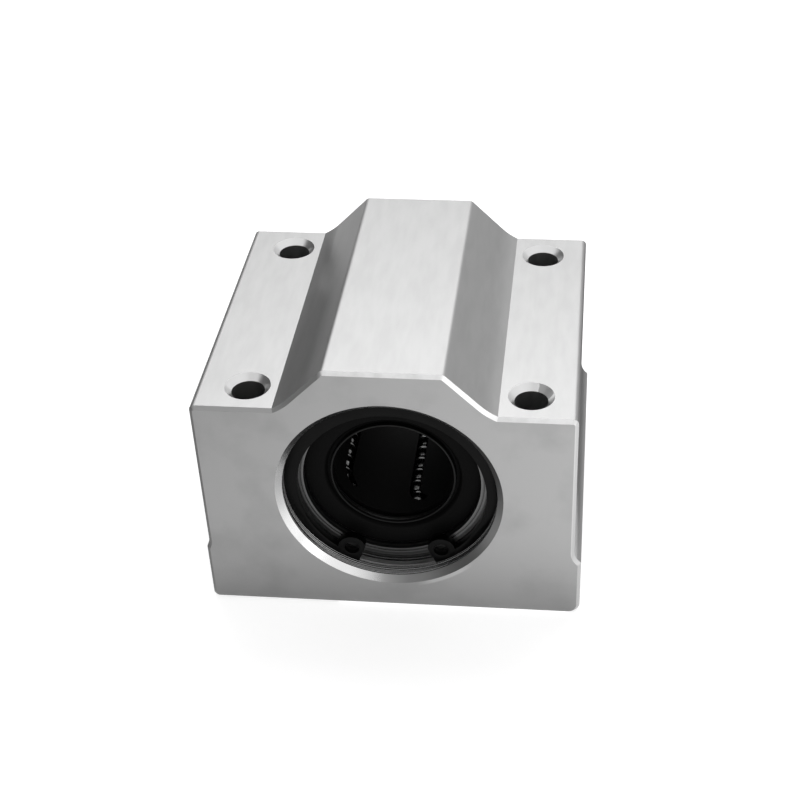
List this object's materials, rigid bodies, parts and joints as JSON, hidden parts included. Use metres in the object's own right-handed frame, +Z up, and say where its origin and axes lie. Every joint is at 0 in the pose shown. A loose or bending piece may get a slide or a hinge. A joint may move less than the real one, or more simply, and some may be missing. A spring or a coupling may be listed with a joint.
{
  "type": "linear bearing block",
  "caption": "Aluminium pillow block with a closed linear ball bearing for a 16 mm shaft, held by two circlips, with tapped flange holes.",
  "frame": {"origin": "centre of the flat mounting face under the block", "axes": "+X across the block, +Y along the shaft away from the shown end, +Z up from the mounting face"},
  "size_m": [0.05, 0.044, 0.0385],
  "materials": {
    "anodised_aluminium": "satin clear anodised extrusion, milled faces",
    "bearing_steel": "ground bearing steel",
    "spring_steel": "blackened spring steel",
    "seal_rubber": "black nitrile rubber",
    "cage_plastic": "black moulded acetal",
    "ball_steel": "polished bearing steel"
  },
  "bodies": {
    "housing": {"block": "anodised_aluminium", "outer_sleeve": "bearing_steel", "ball_cage": "cage_plastic", "front_seal": "seal_rubber", "rear_seal": "seal_rubber", "front_circlip": "spring_steel", "rear_circlip": "spring_steel"},
    "loaded_row_1": {"loaded_row_1": "ball_steel"},
    "return_row_1": {"return_row_1": "ball_steel"},
    "front_turn_1": {"front_turn_1": "ball_steel"},
    "rear_turn_1": {"rear_turn_1": "ball_steel"},
    "loaded_row_2": {"loaded_row_2": "ball_steel"},
    "return_row_2": {"return_row_2": "ball_steel"},
    "front_turn_2": {"front_turn_2": "ball_steel"},
    "rear_turn_2": {"rear_turn_2": "ball_steel"},
    "loaded_row_3": {"loaded_row_3": "ball_steel"},
    "return_row_3": {"return_row_3": "ball_steel"},
    "front_turn_3": {"front_turn_3": "ball_steel"},
    "rear_turn_3": {"rear_turn_3": "ball_steel"},
    "loaded_row_4": {"loaded_row_4": "ball_steel"},
    "return_row_4": {"return_row_4": "ball_steel"},
    "front_turn_4": {"front_turn_4": "ball_steel"},
    "rear_turn_4": {"rear_turn_4": "ball_steel"},
    "loaded_row_5": {"loaded_row_5": "ball_steel"},
    "return_row_5": {"return_row_5": "ball_steel"},
    "front_turn_5": {"front_turn_5": "ball_steel"},
    "rear_turn_5": {"rear_turn_5": "ball_steel"}
  },
  "joints": [
    {"name": "loaded_row_1_travel", "type": "slide", "parent": "housing", "child": "loaded_row_1", "axis": [0, 1, 0], "range_m": [-0.00128, 0.00128]},
    {"name": "return_row_1_travel", "type": "slide", "parent": "housing", "child": "return_row_1", "axis": [0, 1, 0], "range_m": [-0.00128, 0.00128]},
    {"name": "front_turn_1_swing", "type": "hinge", "parent": "housing", "child": "front_turn_1", "pos_m": [0.00134, -0.01022, 0.02841], "axis": [0.3907, 0, 0.9205], "range_deg": [-30, 30]},
    {"name": "rear_turn_1_swing", "type": "hinge", "parent": "housing", "child": "rear_turn_1", "pos_m": [0.00134, 0.01022, 0.02841], "axis": [0.3907, 0, 0.9205], "range_deg": [-30, 30]},
    {"name": "loaded_row_2_travel", "type": "slide", "parent": "housing", "child": "loaded_row_2", "axis": [0, 1, 0], "range_m": [-0.00128, 0.00128]},
    {"name": "return_row_2_travel", "type": "slide", "parent": "housing", "child": "return_row_2", "axis": [0, 1, 0], "range_m": [-0.00128, 0.00128]},
    {"name": "front_turn_2_swing", "type": "hinge", "parent": "housing", "child": "front_turn_2", "pos_m": [-0.00854, -0.01022, 0.02319], "axis": [-0.7547, 0, 0.6561], "range_deg": [-30, 30]},
    {"name": "rear_turn_2_swing", "type": "hinge", "parent": "housing", "child": "rear_turn_2", "pos_m": [-0.00854, 0.01022, 0.02319], "axis": [-0.7547, 0, 0.6561], "range_deg": [-30, 30]},
    {"name": "loaded_row_3_travel", "type": "slide", "parent": "housing", "child": "loaded_row_3", "axis": [0, 1, 0], "range_m": [-0.00128, 0.00128]},
    {"name": "return_row_3_travel", "type": "slide", "parent": "housing", "child": "return_row_3", "axis": [0, 1, 0], "range_m": [-0.00128, 0.00128]},
    {"name": "front_turn_3_swing", "type": "hinge", "parent": "housing", "child": "front_turn_3", "pos_m": [-0.00662, -0.01022, 0.01218], "axis": [-0.8572, 0, -0.515], "range_deg": [-30, 30]},
    {"name": "rear_turn_3_swing", "type": "hinge", "parent": "housing", "child": "rear_turn_3", "pos_m": [-0.00662, 0.01022, 0.01218], "axis": [-0.8572, 0, -0.515], "range_deg": [-30, 30]},
    {"name": "loaded_row_4_travel", "type": "slide", "parent": "housing", "child": "loaded_row_4", "axis": [0, 1, 0], "range_m": [-0.00128, 0.00128]},
    {"name": "return_row_4_travel", "type": "slide", "parent": "housing", "child": "return_row_4", "axis": [0, 1, 0], "range_m": [-0.00128, 0.00128]},
    {"name": "front_turn_4_swing", "type": "hinge", "parent": "housing", "child": "front_turn_4", "pos_m": [0.00444, -0.01022, 0.01059], "axis": [0.225, 0, -0.9744], "range_deg": [-30, 30]},
    {"name": "rear_turn_4_swing", "type": "hinge", "parent": "housing", "child": "rear_turn_4", "pos_m": [0.00444, 0.01022, 0.01059], "axis": [0.225, 0, -0.9744], "range_deg": [-30, 30]},
    {"name": "loaded_row_5_travel", "type": "slide", "parent": "housing", "child": "loaded_row_5", "axis": [0, 1, 0], "range_m": [-0.00128, 0.00128]},
    {"name": "return_row_5_travel", "type": "slide", "parent": "housing", "child": "return_row_5", "axis": [0, 1, 0], "range_m": [-0.00128, 0.00128]},
    {"name": "front_turn_5_swing", "type": "hinge", "parent": "housing", "child": "front_turn_5", "pos_m": [0.00937, -0.01022, 0.02063], "axis": [0.9962, 0, -0.0872], "range_deg": [-30, 30]},
    {"name": "rear_turn_5_swing", "type": "hinge", "parent": "housing", "child": "rear_turn_5", "pos_m": [0.00937, 0.01022, 0.02063], "axis": [0.9962, 0, -0.0872], "range_deg": [-30, 30]}
  ],
  "couplings": [
    {"joint": "return_row_1_travel", "follows": "loaded_row_1_travel", "ratio": -1},
    {"joint": "front_turn_1_swing", "follows": "loaded_row_1_travel", "rad_per_m": 409.84},
    {"joint": "rear_turn_1_swing", "follows": "loaded_row_1_travel", "rad_per_m": 409.84},
    {"joint": "return_row_2_travel", "follows": "loaded_row_2_travel", "ratio": -1},
    {"joint": "front_turn_2_swing", "follows": "loaded_row_2_travel", "rad_per_m": 409.84},
    {"joint": "rear_turn_2_swing", "follows": "loaded_row_2_travel", "rad_per_m": 409.84},
    {"joint": "return_row_3_travel", "follows": "loaded_row_3_travel", "ratio": -1},
    {"joint": "front_turn_3_swing", "follows": "loaded_row_3_travel", "rad_per_m": 409.84},
    {"joint": "rear_turn_3_swing", "follows": "loaded_row_3_travel", "rad_per_m": 409.84},
    {"joint": "return_row_4_travel", "follows": "loaded_row_4_travel", "ratio": -1},
    {"joint": "front_turn_4_swing", "follows": "loaded_row_4_travel", "rad_per_m": 409.84},
    {"joint": "rear_turn_4_swing", "follows": "loaded_row_4_travel", "rad_per_m": 409.84},
    {"joint": "return_row_5_travel", "follows": "loaded_row_5_travel", "ratio": -1},
    {"joint": "front_turn_5_swing", "follows": "loaded_row_5_travel", "rad_per_m": 409.84},
    {"joint": "rear_turn_5_swing", "follows": "loaded_row_5_travel", "rad_per_m": 409.84}
  ]
}
